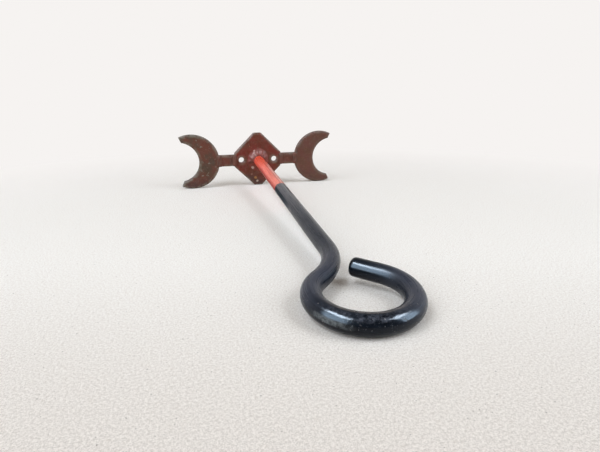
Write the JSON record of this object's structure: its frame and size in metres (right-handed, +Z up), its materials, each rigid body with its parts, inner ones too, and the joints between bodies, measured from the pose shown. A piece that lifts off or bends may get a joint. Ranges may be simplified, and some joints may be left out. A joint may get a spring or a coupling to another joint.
{
  "type": "meat branding iron",
  "caption": "Hand-held branding iron for meat: a round bar bent into an eye handle, welded to an upright head of cut-out crescent and lozenge plates joined by flat tie bars.",
  "frame": {"origin": "middle of the footprint, on the surface that the iron lies on", "axes": "+Z up; +Y in plan along the shank from the eye to the branding head; +X to the right of someone who stands at the eye and looks to the head"},
  "size_m": [0.1232, 0.2458, 0.043],
  "materials": {
    "handle_enamel": "worn gloss black enamel over steel bar, red-orange enamel on the length next to the head",
    "head_plate": "heat-browned red paint over cut steel plate, worn grey at the edges",
    "tie_bar": "heat-browned red paint over flat steel bar",
    "weld_metal": "lumpy weld bead under browned paint, with rust pits"
  },
  "bodies": {
    "root": {"handle_rod": "handle_enamel", "rod_weld": "weld_metal", "centre_plate": "head_plate", "left_plate": "head_plate", "right_plate": "head_plate", "left_tie_bar": "tie_bar", "right_tie_bar": "tie_bar", "left_inner_weld": "weld_metal", "left_outer_weld": "weld_metal", "right_inner_weld": "weld_metal", "right_outer_weld": "weld_metal"}
  },
  "joints": []
}
